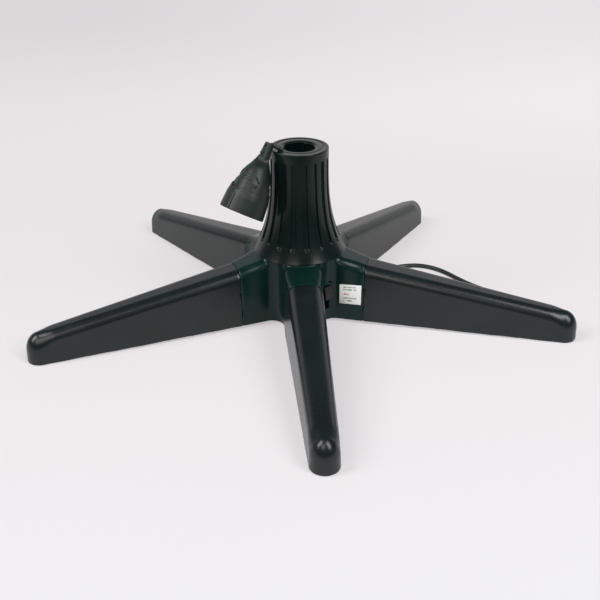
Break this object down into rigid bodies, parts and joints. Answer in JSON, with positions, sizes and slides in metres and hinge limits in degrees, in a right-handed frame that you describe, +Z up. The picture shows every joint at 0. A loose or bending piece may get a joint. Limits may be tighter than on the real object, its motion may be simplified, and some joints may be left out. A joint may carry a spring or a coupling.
{
  "type": "rotating tree stand",
  "caption": "Motorised rotating stand for an artificial tree: tapered plug-in legs round a hub, a fluted flared collar that turns, a pole socket and a trailing mains socket.",
  "frame": {"origin": "on the floor, under the vertical axis that the collar turns about", "axes": "+Z up along the axis of rotation, out of the pole socket; the front leg points along -Y"},
  "size_m": [0.572, 0.5454, 0.1993],
  "materials": {
    "hub_plastic": "satin moulded, deep green",
    "leg_plastic": "satin moulded, dark grey green",
    "collar_plastic": "satin moulded, dark grey green",
    "plate_plastic": "matt moulded",
    "black_plastic": "matt moulded",
    "plug_plastic": "soft moulded",
    "outlet_rubber": "soft moulded, grey green",
    "cord_jacket": "flexible, slightly shiny",
    "pad_rubber": "matt",
    "nylon": "natural",
    "resin_board": "pressed resin board",
    "carbon": "pressed carbon",
    "steel": "zinc plated",
    "race_steel": "pressed and ground",
    "motor_metal": "plated can",
    "bronze": "sintered",
    "brass": "bright",
    "copper": "bright",
    "label": "printed paper"
  },
  "bodies": {
    "hub": {"hub_housing": "hub_plastic", "base_plate": "plate_plastic", "cover_screws": "steel", "spindle_bush": "bronze", "lower_race": "race_steel", "brush_holder": "black_plastic", "brushes": "carbon", "brush_springs": "steel", "motor_can": "motor_metal", "motor_screws": "steel", "switch_body": "black_plastic", "terminal_block": "nylon", "inner_wires": "cord_jacket", "rating_label": "label", "cord_relief": "cord_jacket", "cord_inner_run": "cord_jacket", "cord_coil": "cord_jacket", "cord_outer_run": "cord_jacket", "plug_body": "plug_plastic", "plug_pins": "brass"},
    "rotor": {"upper_race": "race_steel", "spindle": "steel", "drive_gear": "nylon", "gear_clip": "steel", "pole_sleeve": "collar_plastic", "collar_shell": "collar_plastic", "collar_screws": "steel", "slip_ring_disc": "resin_board", "slip_rings": "copper", "outlet_body": "outlet_rubber", "outlet_insert": "black_plastic", "outlet_contacts": "brass", "earth_clips": "steel", "outlet_lead": "cord_jacket"},
    "cage": {"race_balls": "race_steel", "ball_cage": "nylon"},
    "pinion": {"motor_shaft": "steel", "motor_pinion": "bronze"},
    "switch": {"switch_cap": "black_plastic"},
    "front_leg": {"leg_front": "leg_plastic", "pad_front": "pad_rubber"},
    "right_leg": {"leg_right": "leg_plastic", "pad_right": "pad_rubber"},
    "rear_right_leg": {"leg_rear_right": "leg_plastic", "pad_rear_right": "pad_rubber"},
    "rear_left_leg": {"leg_rear_left": "leg_plastic", "pad_rear_left": "pad_rubber"},
    "left_leg": {"leg_left": "leg_plastic", "pad_left": "pad_rubber"}
  },
  "joints": [
    {"name": "collar_spin", "type": "hinge", "parent": "hub", "child": "rotor", "pos_m": [0, 0, 0.0819], "axis": [0, 0, 1], "continuous": true},
    {"name": "cage_orbit", "type": "hinge", "parent": "hub", "child": "cage", "pos_m": [0, 0, 0.0777], "axis": [0, 0, 1], "continuous": true},
    {"name": "pinion_spin", "type": "hinge", "parent": "hub", "child": "pinion", "pos_m": [0.025, 0, 0.038], "axis": [0, 0, 1], "continuous": true},
    {"name": "switch_slide", "type": "slide", "parent": "hub", "child": "switch", "axis": [0, 0, -1], "range_m": [0, 0.012]},
    {"name": "front_leg_pull", "type": "slide", "parent": "hub", "child": "front_leg", "axis": [0, -1, 0], "range_m": [0, 0.04]},
    {"name": "right_leg_pull", "type": "slide", "parent": "hub", "child": "right_leg", "axis": [0.9511, -0.309, 0], "range_m": [0, 0.04]},
    {"name": "rear_right_leg_pull", "type": "slide", "parent": "hub", "child": "rear_right_leg", "axis": [0.5878, 0.809, 0], "range_m": [0, 0.04]},
    {"name": "rear_left_leg_pull", "type": "slide", "parent": "hub", "child": "rear_left_leg", "axis": [-0.5878, 0.809, 0], "range_m": [0, 0.04]},
    {"name": "left_leg_pull", "type": "slide", "parent": "hub", "child": "left_leg", "axis": [-0.9511, -0.309, 0], "range_m": [0, 0.04]}
  ],
  "couplings": [
    {"joint": "cage_orbit", "follows": "collar_spin", "ratio": 0.5},
    {"joint": "pinion_spin", "follows": "collar_spin", "ratio": -2.5714}
  ]
}
